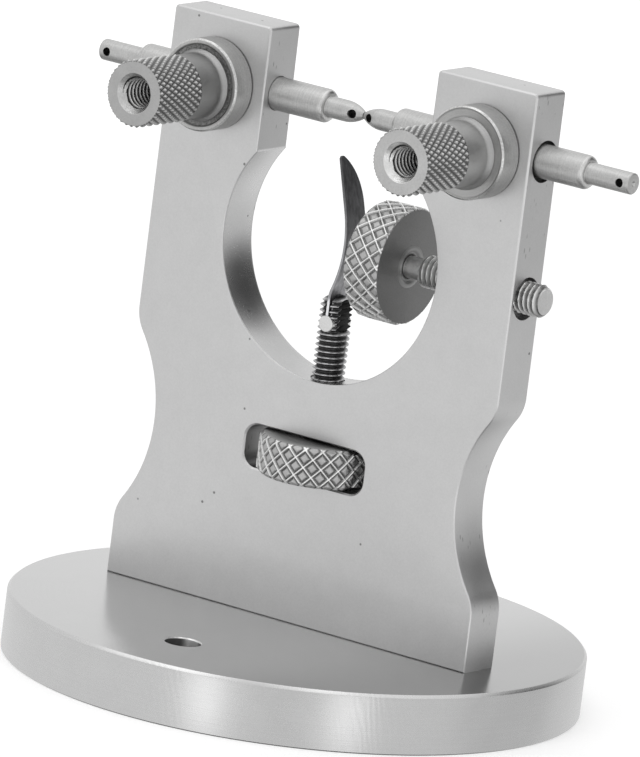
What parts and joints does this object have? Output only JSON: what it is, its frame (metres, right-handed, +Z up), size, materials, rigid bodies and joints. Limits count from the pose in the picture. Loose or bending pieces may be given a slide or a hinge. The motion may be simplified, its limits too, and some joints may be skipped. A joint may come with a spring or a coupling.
{
  "type": "balance truing caliper",
  "caption": "Bench caliper for truing watch balances: a waisted upright on a round base, with clamped sliding runners and a gauge blade set by a thumb nut and a knurled wheel.",
  "frame": {"origin": "centre of the round base's underside", "axes": "+X along the plate towards the side screw, +Y from the front, where the clamp nuts are, to the back, +Z up"},
  "size_m": [0.0791, 0.07, 0.0775],
  "materials": {
    "plated_plate": "satin nickel plate on steel",
    "turned_base": "turned and plated, half polished on top",
    "turned_steel": "fine turned",
    "knurled_steel": "diamond knurled and plated",
    "thread_steel": "cut thread",
    "black_steel": "blackened screw steel",
    "spring_steel": "hardened dark strip with a ground edge"
  },
  "bodies": {
    "frame": {"base_disc": "turned_base", "frame_plate": "plated_plate", "frame_screws": "thread_steel", "left_clamp_stud": "thread_steel", "right_clamp_stud": "thread_steel"},
    "left_runner": {"left_runner": "turned_steel"},
    "right_runner": {"right_runner": "turned_steel"},
    "left_collar": {"left_clamp_collar": "turned_steel"},
    "left_nut": {"left_clamp_nut": "knurled_steel"},
    "right_collar": {"right_clamp_collar": "turned_steel"},
    "right_nut": {"right_clamp_nut": "knurled_steel"},
    "thumb_nut": {"thumb_nut": "knurled_steel"},
    "post": {"gauge_post": "black_steel"},
    "blade": {"gauge_blade": "spring_steel", "gauge_pin": "turned_steel"},
    "side_screw": {"adjuster_screw": "thread_steel"},
    "side_wheel": {"adjuster_wheel": "knurled_steel"}
  },
  "joints": [
    {"name": "left_runner_slide", "type": "slide", "parent": "frame", "child": "left_runner", "axis": [-1, 0, 0], "range_m": [0, 0.012]},
    {"name": "right_runner_slide", "type": "slide", "parent": "frame", "child": "right_runner", "axis": [1, 0, 0], "range_m": [0, 0.012]},
    {"name": "left_collar_slide", "type": "slide", "parent": "frame", "child": "left_collar", "axis": [0, -1, 0], "range_m": [0, 0.0008]},
    {"name": "left_nut_turn", "type": "hinge", "parent": "left_collar", "child": "left_nut", "pos_m": [-0.0195, 0, 0.06925], "axis": [0, -1, 0], "range_deg": [0, 360]},
    {"name": "right_collar_slide", "type": "slide", "parent": "frame", "child": "right_collar", "axis": [0, -1, 0], "range_m": [0, 0.0008]},
    {"name": "right_nut_turn", "type": "hinge", "parent": "right_collar", "child": "right_nut", "pos_m": [0.0195, 0, 0.06925], "axis": [0, -1, 0], "range_deg": [0, 360]},
    {"name": "thumb_nut_turn", "type": "hinge", "parent": "frame", "child": "thumb_nut", "pos_m": [0, 0, 0.02725], "axis": [0, 0, 1], "range_deg": [-1080, 1080]},
    {"name": "post_lift", "type": "slide", "parent": "frame", "child": "post", "axis": [0, 0, 1], "range_m": [-0.0021, 0.0021]},
    {"name": "blade_lean", "type": "hinge", "parent": "post", "child": "blade", "pos_m": [0, 0, 0.04385], "axis": [0, 1, 0], "range_deg": [-2.25, 2.25]},
    {"name": "side_screw_feed", "type": "slide", "parent": "frame", "child": "side_screw", "axis": [1, 0, 0], "range_m": [-0.00035, 0.00035]},
    {"name": "side_wheel_turn", "type": "hinge", "parent": "side_screw", "child": "side_wheel", "pos_m": [0.0074, 0, 0.0528], "axis": [1, 0, 0], "range_deg": [-180, 180]}
  ],
  "couplings": [
    {"joint": "left_nut_turn", "follows": "left_collar_slide", "rad_per_m": 7854},
    {"joint": "right_nut_turn", "follows": "right_collar_slide", "rad_per_m": 7854},
    {"joint": "thumb_nut_turn", "follows": "post_lift", "rad_per_m": -8976},
    {"joint": "side_wheel_turn", "follows": "side_screw_feed", "rad_per_m": 8976},
    {"joint": "blade_lean", "follows": "side_screw_feed", "rad_per_m": 111.73}
  ]
}
